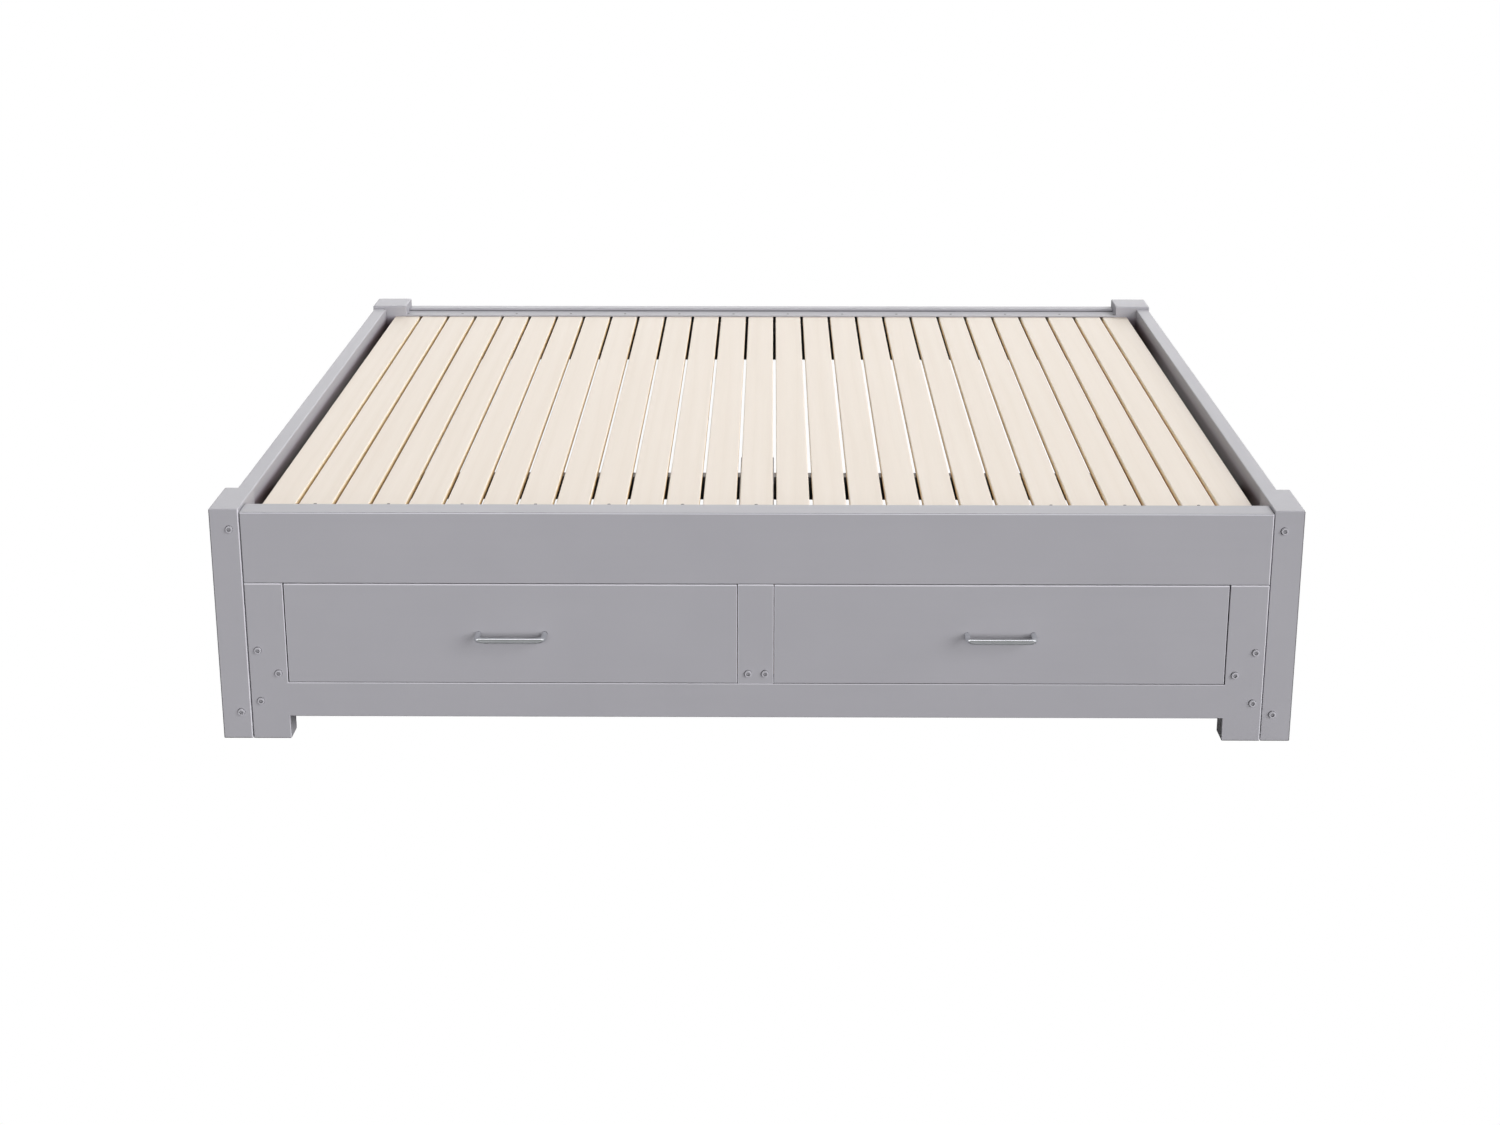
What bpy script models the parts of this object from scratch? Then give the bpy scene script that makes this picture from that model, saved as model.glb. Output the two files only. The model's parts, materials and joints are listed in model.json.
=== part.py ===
"""Storage daybed: a low painted-wood platform on four posts, with a field of
loose slats running front to back and two drawers side by side under its front.

Units are metres. +Z is up, the front faces -Y and X runs along the front.
The origin is on the floor, at the centre of the footprint, handles included.
Every depth below is first given as a distance behind the front face; at()
turns it into a Y coordinate.
"""

import math

import bpy
from mathutils import Vector

# ---------------------------------------------------------------- overall
WIDTH = 2.180  # outside the posts
DEPTH = 2.080  # front face to the back of the rear posts
GAP = 0.0003  # left between pieces that touch

# ---------------------------------------------------------------- heights
POST_TOP = 0.490
RAIL_TOP = 0.482  # side rails
FRONT_RAIL_TOP = 0.4832
RAIL_LOW = 0.3355
BACK_RAIL_TOP = 0.472
BACK_RAIL_LOW = 0.3255
BASE_TOP = 0.122  # bottom rail, under the drawers
BASE_LOW = 0.0487
SLAT_TOP = 0.461

# ---------------------------------------------------------------- frame stock
FRONT_POST_W = 0.060
FRONT_POST_D = 0.156
BACK_POST_W = 0.092
BACK_POST_D = 0.103
BACK_POST_INSET = 0.018  # the rear posts' outer face, inside the front posts'
LEG_BOARD_W = 0.0787
FRONT_RAIL_T = 0.0615
BOARD_T = 0.058  # leg boards, bottom rail and stile
STILE_W = 0.072
RAIL_T = 0.033  # side and back rails
SIDE_RAIL_INSET = 0.0207  # their outer face, inside the front posts' outer face
BACK_RAIL_INSET = 0.0115  # its outer face, before the rear posts' back

# ---------------------------------------------------------------- slats
SLATS = 27
SLAT_W = 0.0677
SLAT_T = 0.016
SLAT_PITCH = 0.0752
STRIP_T = 0.0037  # flat strip screwed over the slats' rear ends
STRIP_FRONT = 1.974
STRIP_PAST_POST = 0.0105

# ---------------------------------------------------------------- slat bearers
LEDGER_T = 0.033
BEAM_FRONT = 0.404
BEAM_T = 0.0325
BEAM_H = 0.051
TONGUE_UNDER_SLAT = 0.006  # where its end tongues start, inside the slats' outer edge
BEARER_W = 0.072
BEARER_END = 0.564
CENTRE_LEG_T = 0.033

# ---------------------------------------------------------------- drawer rails
DRAWER_RAIL_LOW = 0.110
DRAWER_RAIL_TOP = 0.170
RUNNER_TOP = 0.128
RUNNER_W = 0.0175
RUNNER_END = 0.540
GUIDE_PAST_STILE = 0.0021  # the centre rail's upper part, past the stile's edges

# ---------------------------------------------------------------- drawers
FRONT_T = 0.022
SIDE_T = 0.015
BACK_T = 0.015
PANEL_T = 0.006
GROOVE = 0.006  # how far the bottom panel enters the sides and the front
DRAWER_END = 0.530
SIDE_LOW = 0.1283
SIDE_TOP = 0.2783
PANEL_LOW = 0.137
SLACK_OUTER = 0.0024  # beside the leg board
SLACK_INNER = 0.0014  # beside the stile
SLACK_TOP = 0.0012
SLACK_BOTTOM = 0.0014
SIDE_CLEAR = 0.003  # box side to drawer rail

# ---------------------------------------------------------------- handles
HANDLE_CENTRES = 0.134  # foot to foot
HANDLE_R = 0.0058
HANDLE_OUT = 0.044  # front face to the bar's axis
HANDLE_BEND = 0.015
HANDLE_Z = 0.2286

REACH = HANDLE_OUT + HANDLE_R
Y_FRONT = -(DEPTH - REACH) / 2.0
HALF = WIDTH / 2.0


def at(behind_front):
    return Y_FRONT + behind_front


for old in list(bpy.data.objects):
    bpy.data.objects.remove(old, do_unlink=True)

PARTS = bpy.data.collections.new("storage_daybed")
CUTTERS = bpy.data.collections.new("cutters")
bpy.context.scene.collection.children.link(PARTS)
bpy.context.scene.collection.children.link(CUTTERS)


def material(name, colour, roughness, metallic=0.0):
    made = bpy.data.materials.new(name)
    made.use_nodes = True
    shader = made.node_tree.nodes["Principled BSDF"]
    shader.inputs["Base Color"].default_value = (*colour, 1.0)
    shader.inputs["Roughness"].default_value = roughness
    shader.inputs["Metallic"].default_value = metallic
    made.diffuse_color = (*colour, 1.0)
    return made


def put_in(collection, obj):
    for other in list(obj.users_collection):
        other.objects.unlink(obj)
    collection.objects.link(obj)


def finish(obj, name, look, bevel):
    """Names the piece, gives it a material of its own and eases its edges."""
    obj.name = name
    obj.data.name = name
    colour, roughness, metallic = look
    obj.data.materials.clear()
    obj.data.materials.append(material(name, colour, roughness, metallic))
    if bevel:
        eased = obj.modifiers.new("eased edges", "BEVEL")
        eased.width = bevel
        eased.segments = 1
        eased.limit_method = "ANGLE"
        eased.angle_limit = math.radians(40)
    return obj


PAINT = ((0.352, 0.348, 0.372), 0.50, 0.0)
SLAT_WOOD = ((0.82, 0.74, 0.64), 0.62, 0.0)
RAW_WOOD = ((0.74, 0.62, 0.46), 0.65, 0.0)
PLY = ((0.78, 0.67, 0.51), 0.60, 0.0)
STEEL = ((0.72, 0.74, 0.75), 0.22, 1.0)


def raw_box(x0, x1, y0, y1, z0, z1):
    bpy.ops.mesh.primitive_cube_add(
        size=1.0, location=((x0 + x1) / 2, (y0 + y1) / 2, (z0 + z1) / 2)
    )
    obj = bpy.context.object
    obj.scale = (x1 - x0, y1 - y0, z1 - z0)
    bpy.ops.object.transform_apply(location=False, rotation=False, scale=True)
    return obj


def board(name, x, behind, z, look=PAINT, bevel=0.002):
    """A rectangular board: x and z are ranges, behind is its range behind the front face."""
    obj = raw_box(x[0], x[1], at(behind[0]), at(behind[1]), z[0], z[1])
    put_in(PARTS, obj)
    return finish(obj, name, look, bevel)


def cutter(name, x, y, z):
    obj = raw_box(x[0], x[1], y[0], y[1], z[0], z[1])
    put_in(CUTTERS, obj)
    obj.name = name
    obj.hide_render = True
    obj.display_type = "WIRE"
    return obj


def cut(obj, tool):
    notch = obj.modifiers.new(tool.name, "BOOLEAN")
    notch.operation = "DIFFERENCE"
    notch.solver = "EXACT"
    notch.object = tool
    return obj


def mirrored(x0, x1, side):
    """The X range of a piece given for the right side, on side -1 or +1."""
    return (x0, x1) if side > 0 else (-x1, -x0)


SIDES = ((-1, "left"), (1, "right"))

# =============================================================== outer frame
back_face = DEPTH
back_post_front = DEPTH - BACK_POST_D
back_rail_back = DEPTH - BACK_RAIL_INSET
back_rail_front = back_rail_back - RAIL_T
front_post_inner = HALF - FRONT_POST_W
back_post_outer = HALF - BACK_POST_INSET
back_post_inner = back_post_outer - BACK_POST_W
rail_outer = HALF - SIDE_RAIL_INSET
rail_inner = rail_outer - RAIL_T
opening_edge = front_post_inner - LEG_BOARD_W  # leg board's inner edge

for side, word in SIDES:
    board(
        f"{word}_front_post",
        mirrored(front_post_inner + GAP, HALF, side),
        (0.0, FRONT_POST_D),
        (0.0, POST_TOP),
        bevel=0.003,
    )
    board(
        f"{word}_back_post",
        mirrored(back_post_inner + GAP, back_post_outer, side),
        (back_post_front, back_face),
        (0.0, POST_TOP),
        bevel=0.003,
    )
    board(
        f"{word}_side_rail",
        mirrored(rail_inner, rail_outer, side),
        (FRONT_POST_D + GAP, back_post_front - GAP),
        (RAIL_LOW, RAIL_TOP),
    )
    board(
        f"{word}_leg_board",
        mirrored(opening_edge, front_post_inner, side),
        (0.0, BOARD_T),
        (0.0, RAIL_LOW - GAP),
    )

board(
    "front_rail",
    (-front_post_inner, front_post_inner),
    (0.0, FRONT_RAIL_T),
    (RAIL_LOW, FRONT_RAIL_TOP),
    bevel=0.003,
)
board(
    "back_rail",
    (-back_post_inner, back_post_inner),
    (back_rail_front, back_rail_back),
    (BACK_RAIL_LOW, BACK_RAIL_TOP),
)
board(
    "bottom_rail",
    (-opening_edge + GAP, opening_edge - GAP),
    (0.0, BOARD_T),
    (BASE_LOW, BASE_TOP),
)
board(
    "centre_stile",
    (-STILE_W / 2, STILE_W / 2),
    (0.0, BOARD_T),
    (BASE_TOP + GAP, RAIL_LOW - GAP),
    bevel=0.001,
)

# =============================================================== slat bearers
slat_low = SLAT_TOP - SLAT_T
bearer_top = slat_low - GAP

board(
    "front_slat_ledger",
    (-front_post_inner + GAP, front_post_inner - GAP),
    (FRONT_RAIL_T + GAP, FRONT_POST_D),
    (bearer_top - LEDGER_T, bearer_top),
    look=RAW_WOOD,
    bevel=0.001,
)
board(
    "back_slat_ledger",
    (-back_post_inner + GAP, back_post_inner - GAP),
    (STRIP_FRONT, back_rail_front - GAP),
    (bearer_top - LEDGER_T, bearer_top),
    look=RAW_WOOD,
    bevel=0.001,
)

# The cross beam runs between the side rails. It and the centre bearer are
# halved over each other where they cross.
beam_low = bearer_top - BEAM_H
lap = beam_low + BEAM_H / 2
beam = board(
    "cross_beam",
    (-rail_inner + GAP, rail_inner - GAP),
    (BEAM_FRONT, BEAM_FRONT + BEAM_T),
    (beam_low, bearer_top),
    bevel=0.0,
)
cut(
    beam,
    cutter(
        "beam_notch",
        (-BEARER_W / 2 - GAP, BEARER_W / 2 + GAP),
        (at(BEAM_FRONT) - 0.01, at(BEAM_FRONT + BEAM_T) + 0.01),
        (lap, bearer_top + 0.01),
    ),
)
# Beside the outermost slats the beam is cut down to a tongue, which stays out
# of sight in the space next to the side rails.
tongue_start = SLAT_PITCH * (SLATS - 1) / 2 + SLAT_W / 2 - TONGUE_UNDER_SLAT
for side, word in SIDES:
    cut(
        beam,
        cutter(
            f"beam_{word}_end",
            mirrored(tongue_start, rail_inner + 0.01, side),
            (at(BEAM_FRONT) - 0.01, at(BEAM_FRONT + BEAM_T) + 0.01),
            (lap, bearer_top + 0.01),
        ),
    )
leg_front = BEARER_END - CENTRE_LEG_T
bearer = board(
    "centre_bearer",
    (-BEARER_W / 2, BEARER_W / 2),
    (FRONT_POST_D + GAP, leg_front - GAP),
    (beam_low, bearer_top),
    bevel=0.0,
)
cut(
    bearer,
    cutter(
        "bearer_notch",
        (-BEARER_W / 2 - 0.01, BEARER_W / 2 + 0.01),
        (at(BEAM_FRONT) - GAP, at(BEAM_FRONT + BEAM_T) + GAP),
        (beam_low - 0.01, lap + GAP),
    ),
)
board(
    "centre_leg",
    (-BEARER_W / 2, BEARER_W / 2),
    (leg_front, BEARER_END),
    (0.0, bearer_top),
    bevel=0.001,
)

# =============================================================== drawer rails
# The outer rails run from the leg boards to the rear posts, which they lap on
# the inside. Each carries a rebated runner for its drawer in the front part.
for side, word in SIDES:
    rail = board(
        f"{word}_drawer_rail",
        mirrored(opening_edge - RUNNER_W, back_post_inner - GAP, side),
        (BOARD_T + GAP, back_face - 0.003),
        (DRAWER_RAIL_LOW, DRAWER_RAIL_TOP),
        look=RAW_WOOD,
        bevel=0.0,
    )
    cut(
        rail,
        cutter(
            f"{word}_runner_rebate",
            mirrored(opening_edge - RUNNER_W - 0.01, opening_edge, side),
            (at(BOARD_T) - 0.01, at(RUNNER_END) + 0.001),
            (RUNNER_TOP, DRAWER_RAIL_TOP + 0.01),
        ),
    )
    cut(
        rail,
        cutter(
            f"{word}_runner_end",
            mirrored(opening_edge - RUNNER_W - 0.01, opening_edge, side),
            (at(RUNNER_END), at(back_face) + 0.01),
            (DRAWER_RAIL_LOW - 0.01, DRAWER_RAIL_TOP + 0.01),
        ),
    )

half_stile = STILE_W / 2
centre_rail = board(
    "centre_drawer_rail",
    (-half_stile - RUNNER_W, half_stile + RUNNER_W),
    (BOARD_T + GAP, leg_front - GAP),
    (DRAWER_RAIL_LOW, DRAWER_RAIL_TOP),
    look=RAW_WOOD,
    bevel=0.0,
)
for side, word in SIDES:
    cut(
        centre_rail,
        cutter(
            f"centre_{word}_rebate",
            mirrored(half_stile + GUIDE_PAST_STILE, half_stile + RUNNER_W + 0.01, side),
            (at(BOARD_T) - 0.01, at(leg_front) + 0.01),
            (RUNNER_TOP, DRAWER_RAIL_TOP + 0.01),
        ),
    )

# =============================================================== slats
field = SLAT_PITCH * (SLATS - 1)
slat_start = FRONT_RAIL_T + 0.0015
slat_end = back_rail_front - 0.0025
shared = None
for index in range(SLATS):
    name = f"slat_{index + 1:02d}"
    x = -field / 2 + index * SLAT_PITCH
    outermost = index in (0, SLATS - 1)
    if shared is None or outermost:
        obj = board(
            name,
            (x - SLAT_W / 2, x + SLAT_W / 2),
            (slat_start, slat_end),
            (slat_low, SLAT_TOP),
            look=SLAT_WOOD,
            bevel=0.0015,
        )
        if not outermost:
            shared = obj
    else:
        obj = bpy.data.objects.new(name, shared.data)
        obj.location = (x, shared.location.y, shared.location.z)
        PARTS.objects.link(obj)
        eased = obj.modifiers.new("eased edges", "BEVEL")
        eased.width = 0.0015
        eased.segments = 1
        eased.limit_method = "ANGLE"
        eased.angle_limit = math.radians(40)
    if outermost:
        # Notched round the rear post.
        side = -1 if index == 0 else 1
        cut(
            obj,
            cutter(
                f"{name}_notch",
                mirrored(back_post_inner - GAP, HALF, side),
                (at(back_post_front) - GAP, at(slat_end) + 0.01),
                (slat_low - 0.01, SLAT_TOP + 0.01),
            ),
        )

# A thin strip lies on the slats' rear ends and is notched round the posts.
strip = board(
    "slat_end_strip",
    (-back_post_inner - STRIP_PAST_POST, back_post_inner + STRIP_PAST_POST),
    (STRIP_FRONT, back_rail_front - GAP),
    (SLAT_TOP + GAP, SLAT_TOP + GAP + STRIP_T),
    bevel=0.0,
)
for side, word in SIDES:
    cut(
        strip,
        cutter(
            f"strip_{word}_notch",
            mirrored(back_post_inner - GAP, HALF, side),
            (at(back_post_front) - GAP, at(back_rail_front) + 0.01),
            (SLAT_TOP - 0.01, SLAT_TOP + 0.02),
        ),
    )


# =============================================================== drawers
def handle(name, x, y_face):
    """A bent round bar: two legs out of the drawer front and a bar between them."""
    half = HANDLE_CENTRES / 2
    y_bar = y_face - HANDLE_OUT
    route = [Vector((x - half, y_face - GAP, HANDLE_Z))]
    steps = 5
    for index in range(steps + 1):
        angle = math.pi / 2 * index / steps
        route.append(
            Vector(
                (
                    x - half + HANDLE_BEND * (1 - math.cos(angle)),
                    y_bar + HANDLE_BEND * (1 - math.sin(angle)),
                    HANDLE_Z,
                )
            )
        )
    route += [Vector((2 * x - p.x, p.y, p.z)) for p in reversed(route)]
    curve = bpy.data.curves.new(name, "CURVE")
    curve.dimensions = "3D"
    spline = curve.splines.new("POLY")
    spline.points.add(len(route) - 1)
    for point, place in zip(spline.points, route):
        point.co = (*place, 1.0)
    curve.bevel_depth = HANDLE_R
    curve.bevel_resolution = 2
    curve.use_fill_caps = True
    obj = bpy.data.objects.new(name, curve)
    PARTS.objects.link(obj)
    colour, roughness, metallic = STEEL
    curve.materials.append(material(name, colour, roughness, metallic))
    return obj


for side, word in SIDES:
    x0 = half_stile + SLACK_INNER
    x1 = opening_edge - SLACK_OUTER
    front_z = (BASE_TOP + SLACK_BOTTOM, RAIL_LOW - SLACK_TOP)
    box0 = half_stile + SIDE_CLEAR
    box1 = opening_edge - SIDE_CLEAR
    x_mid = side * (x0 + x1) / 2

    groove = cutter(
        f"{word}_drawer_groove",
        mirrored(box0 + SIDE_T - GROOVE - GAP, box1 - SIDE_T + GROOVE + GAP, side),
        (at(FRONT_T) - GROOVE - GAP, at(DRAWER_END) + 0.01),
        (PANEL_LOW - GAP, PANEL_LOW + PANEL_T + GAP),
    )
    front = board(
        f"{word}_drawer_front",
        mirrored(x0, x1, side),
        (0.0, FRONT_T),
        front_z,
        bevel=0.001,
    )
    inner = board(
        f"{word}_drawer_inner_side",
        mirrored(box0, box0 + SIDE_T, side),
        (FRONT_T + GAP, DRAWER_END),
        (SIDE_LOW, SIDE_TOP),
        look=RAW_WOOD,
        bevel=0.0,
    )
    outer = board(
        f"{word}_drawer_outer_side",
        mirrored(box1 - SIDE_T, box1, side),
        (FRONT_T + GAP, DRAWER_END),
        (SIDE_LOW, SIDE_TOP),
        look=RAW_WOOD,
        bevel=0.0,
    )
    for piece in (front, inner, outer):
        cut(piece, groove)
    rear = board(
        f"{word}_drawer_back",
        mirrored(box0 + SIDE_T + GAP, box1 - SIDE_T - GAP, side),
        (DRAWER_END - BACK_T, DRAWER_END),
        (PANEL_LOW + PANEL_T + 2 * GAP, SIDE_TOP),
        look=RAW_WOOD,
        bevel=0.0,
    )
    panel = board(
        f"{word}_drawer_bottom",
        mirrored(box0 + SIDE_T - GROOVE, box1 - SIDE_T + GROOVE, side),
        (FRONT_T - GROOVE, DRAWER_END),
        (PANEL_LOW, PANEL_LOW + PANEL_T),
        look=PLY,
        bevel=0.0,
    )
    pull = handle(f"{word}_drawer_handle", x_mid, at(0.0))

    slide = bpy.data.objects.new(f"{word}_drawer_slide", None)
    slide.location = (x_mid, at(0.0), RUNNER_TOP)
    slide.empty_display_type = "SINGLE_ARROW"
    slide.rotation_euler = (math.pi / 2, 0.0, 0.0)
    PARTS.objects.link(slide)
    bpy.context.view_layer.update()
    for piece in (front, inner, outer, rear, panel, pull):
        piece.parent = slide
        piece.matrix_parent_inverse = slide.matrix_world.inverted()

bpy.context.view_layer.update()
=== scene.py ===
"""Storage daybed: the looks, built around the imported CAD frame.

Every length is in metres. +Z is up, the front faces -Y and X runs along the
front. A board is rebuilt with rounded edges in the box of the node that it
stands for; bolts and screws are separate pieces that ride on the frame.
"""

import json
import math

import bmesh
import bpy
from mathutils import Matrix, Quaternion, Vector

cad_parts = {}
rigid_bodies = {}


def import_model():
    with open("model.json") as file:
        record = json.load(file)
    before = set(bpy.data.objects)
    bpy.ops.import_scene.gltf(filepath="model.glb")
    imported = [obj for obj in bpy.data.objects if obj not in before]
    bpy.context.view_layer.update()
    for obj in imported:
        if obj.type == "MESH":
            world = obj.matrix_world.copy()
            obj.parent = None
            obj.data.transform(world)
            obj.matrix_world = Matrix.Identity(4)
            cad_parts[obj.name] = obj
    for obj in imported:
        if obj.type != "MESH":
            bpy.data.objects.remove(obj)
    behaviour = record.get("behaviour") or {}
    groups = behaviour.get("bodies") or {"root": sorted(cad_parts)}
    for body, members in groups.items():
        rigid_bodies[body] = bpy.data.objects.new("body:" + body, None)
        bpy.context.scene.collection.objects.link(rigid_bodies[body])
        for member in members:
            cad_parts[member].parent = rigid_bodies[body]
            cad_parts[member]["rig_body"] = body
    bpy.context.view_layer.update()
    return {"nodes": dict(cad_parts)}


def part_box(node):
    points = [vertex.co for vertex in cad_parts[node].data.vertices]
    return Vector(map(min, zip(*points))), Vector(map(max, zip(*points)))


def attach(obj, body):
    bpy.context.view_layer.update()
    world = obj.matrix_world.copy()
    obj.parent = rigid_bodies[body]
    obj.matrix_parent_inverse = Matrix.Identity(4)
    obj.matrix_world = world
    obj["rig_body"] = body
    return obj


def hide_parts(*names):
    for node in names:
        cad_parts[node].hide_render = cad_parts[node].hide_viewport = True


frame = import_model()
NODES = frame["nodes"]
SCENE = bpy.context.scene

# =================================================================== camera
YAW, PITCH, ROLL = -0.0094, 0.3101, 0.0007
camera_data = bpy.data.cameras.new("camera")
camera_data.sensor_fit = "HORIZONTAL"
camera_data.sensor_width = 36.0
camera_data.lens = 58.15
camera_data.clip_start = 0.05
camera_data.clip_end = 200.0
camera = bpy.data.objects.new("camera", camera_data)
SCENE.collection.objects.link(camera)
forward = Vector(
    (
        math.sin(YAW) * math.cos(PITCH),
        math.cos(YAW) * math.cos(PITCH),
        -math.sin(PITCH),
    )
)
turn = forward.to_track_quat("-Z", "Y") @ Quaternion((0, 0, 1), -ROLL)
camera.location = (0.0319, -5.6274, 1.8587)
camera.rotation_euler = turn.to_euler()
SCENE.camera = camera

SCENE.view_settings.view_transform = "Standard"
SCENE.view_settings.look = "None"
SCENE.view_settings.exposure = 0.0
SCENE.view_settings.gamma = 1.0


# ================================================================ materials
class Look:
    """A node-based material, built step by step."""

    def __init__(self, name):
        self.made = bpy.data.materials.new(name)
        self.made.use_nodes = True
        self.tree = self.made.node_tree
        self.shader = self.tree.nodes["Principled BSDF"]

    def set(self, **values):
        for key, value in values.items():
            self.shader.inputs[key.replace("_", " ")].default_value = value
        return self

    def join(self, source, target):
        self.tree.links.new(source, target)

    def coords(self, scale, wander=None):
        """Object coordinates, stretched; wander shifts them by piece."""
        place = self.tree.nodes.new("ShaderNodeTexCoord").outputs["Object"]
        if wander:
            info = self.tree.nodes.new("ShaderNodeObjectInfo")
            shift = self.tree.nodes.new("ShaderNodeVectorMath")
            shift.operation = "MULTIPLY_ADD"
            self.join(info.outputs["Random"], shift.inputs[0])
            shift.inputs[1].default_value = wander
            self.join(place, shift.inputs[2])
            place = shift.outputs["Vector"]
        stretch = self.tree.nodes.new("ShaderNodeMapping")
        stretch.inputs["Scale"].default_value = scale
        self.join(place, stretch.inputs["Vector"])
        return stretch.outputs["Vector"]

    def noise(self, place, scale, detail=3.0, rough=0.5, twist=0.0):
        made = self.tree.nodes.new("ShaderNodeTexNoise")
        made.inputs["Scale"].default_value = scale
        made.inputs["Detail"].default_value = detail
        made.inputs["Roughness"].default_value = rough
        made.inputs["Distortion"].default_value = twist
        self.join(place, made.inputs["Vector"])
        return made.outputs["Fac"]

    def rings(self, place, scale, twist, detail, direction):
        made = self.tree.nodes.new("ShaderNodeTexWave")
        made.wave_type = "BANDS"
        made.bands_direction = direction
        made.wave_profile = "SAW"
        made.inputs["Scale"].default_value = scale
        made.inputs["Distortion"].default_value = twist
        made.inputs["Detail"].default_value = detail
        made.inputs["Detail Scale"].default_value = 1.4
        self.join(place, made.inputs["Vector"])
        return made.outputs["Fac"]

    def ramp(self, source, *stops):
        made = self.tree.nodes.new("ShaderNodeValToRGB")
        band = made.color_ramp
        while len(band.elements) < len(stops):
            band.elements.new(0.5)
        for element, (at, colour) in zip(band.elements, stops):
            element.position = at
            if not isinstance(colour, tuple):
                colour = (colour, colour, colour)
            element.color = (*colour, 1.0)
        self.join(source, made.inputs["Fac"])
        return made.outputs["Color"]

    def by_height(self, *stops):
        """A ramp over the height, with stops in metres."""
        place = self.tree.nodes.new("ShaderNodeTexCoord").outputs["Object"]
        split = self.tree.nodes.new("ShaderNodeSeparateXYZ")
        self.join(place, split.inputs["Vector"])
        low, high = stops[0][0], stops[-1][0]
        share = self.tree.nodes.new("ShaderNodeMapRange")
        share.inputs["From Min"].default_value = low
        share.inputs["From Max"].default_value = high
        self.join(split.outputs["Z"], share.inputs["Value"])
        return self.ramp(
            share.outputs["Result"],
            *(((at - low) / (high - low), tone) for at, tone in stops),
        )

    def shade(self, under, over, how="MULTIPLY", amount=1.0):
        made = self.tree.nodes.new("ShaderNodeMix")
        made.data_type = "RGBA"
        made.blend_type = how
        made.inputs["Factor"].default_value = amount
        self.join(under, made.inputs[6])
        self.join(over, made.inputs[7])
        return made.outputs[2]

    def bump(self, height, strength, depth, over=None):
        made = self.tree.nodes.new("ShaderNodeBump")
        made.inputs["Strength"].default_value = strength
        made.inputs["Distance"].default_value = depth
        self.join(height, made.inputs["Height"])
        if over is not None:
            self.join(over, made.inputs["Normal"])
        return made.outputs["Normal"]

    def to(self, socket, source):
        self.join(source, self.shader.inputs[socket])
        return self


# Which way a board's grain runs, as the stretch of its texture.
ALONG = {
    "x": (0.05, 1.0, 1.0),
    "y": (1.0, 0.05, 1.0),
    "z": (1.0, 1.0, 0.05),
}

PAINT_LIGHT = (0.389, 0.382, 0.412)
PAINT_DARK = (0.376, 0.369, 0.399)


def painted(grain, name="painted_wood", depth=1.0, fade=()):
    """Sprayed satin paint over wood: a faint orange peel, and the grain below it just
    telling in the gloss. fade lists heights in metres, each with how much of the tone
    is left there: painted shade, darker towards the bottom."""
    look = Look(f"{name}_{grain}")
    flat = look.coords((1.0, 1.0, 1.0))
    along = look.coords(ALONG[grain])
    clouds = look.noise(flat, 5.0, 4.0, 0.55)
    streaks = look.noise(along, 70.0, 5.0, 0.6, 0.2)
    dark, light = (tuple(v * depth for v in c) for c in (PAINT_DARK, PAINT_LIGHT))
    tone = look.ramp(clouds, (0.30, dark), (0.70, light))
    fibre = look.ramp(streaks, (0.25, 0.985), (0.75, 1.0))
    colour = look.shade(tone, fibre)
    if fade:
        colour = look.shade(colour, look.by_height(*fade))
    look.to("Base Color", colour)
    look.to("Roughness", look.ramp(streaks, (0.25, 0.40), (0.75, 0.48)))
    peel = look.noise(flat, 650.0, 2.0, 0.5)
    raised = look.bump(streaks, 0.10, 0.0004)
    look.to("Normal", look.bump(peel, 0.08, 0.00015, raised))
    look.set(Specular_IOR_Level=0.5)
    return look.made


def slat_face():
    """Planed, clear-finished pale wood, the grain running front to back."""
    look = Look("slat_wood")
    along = look.coords((1.0, 0.035, 1.0), wander=(3.7, 11.3, 5.1))
    each = look.coords((0.0, 0.0, 0.0), wander=(97.0, 53.0, 29.0))
    figure = look.rings(along, 9.0, 7.0, 3.0, "X")
    streaks = look.noise(along, 240.0, 4.0, 0.6, 0.3)
    patches = look.noise(along, 26.0, 3.0, 0.5, 0.4)
    board = look.noise(each, 1.0, 0.0)
    tone = look.ramp(
        patches, (0.28, (0.800, 0.716, 0.628)), (0.72, (0.825, 0.745, 0.662))
    )
    lines = look.ramp(
        figure, (0.0, (0.975, 0.968, 0.958)), (0.55, 1.0), (1.0, (0.988, 0.983, 0.976))
    )
    fibre = look.ramp(streaks, (0.30, (0.975, 0.970, 0.962)), (0.62, 1.0))
    own = look.ramp(board, (0.30, (0.965, 0.955, 0.945)), (0.70, 1.0))
    colour = look.shade(look.shade(look.shade(tone, lines), fibre), own)
    look.to("Base Color", colour)
    look.to("Roughness", look.ramp(streaks, (0.30, 0.46), (0.70, 0.56)))
    look.to("Normal", look.bump(streaks, 0.10, 0.00025))
    look.set(Specular_IOR_Level=0.4)
    return look.made


def shaded_slat_edge(name, *heights):
    """The slats' sawn edges, with coarser fibres: warmer than their faces, partly
    their own tone and partly painted light bounced between the slats, and darker
    downwards, painted shade in the narrow gaps."""
    look = Look(name)
    along = look.coords((1.0, 0.035, 1.0), wander=(3.7, 11.3, 5.1))
    streaks = look.noise(along, 330.0, 4.0, 0.6, 0.3)
    tone = look.ramp(streaks, (0.28, (0.93, 0.92, 0.90)), (0.70, 1.0))
    look.to("Base Color", look.shade(tone, look.by_height(*heights)))
    look.to("Roughness", look.ramp(streaks, (0.30, 0.58), (0.70, 0.68)))
    look.to("Normal", look.bump(streaks, 0.20, 0.0003))
    return look.made


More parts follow.
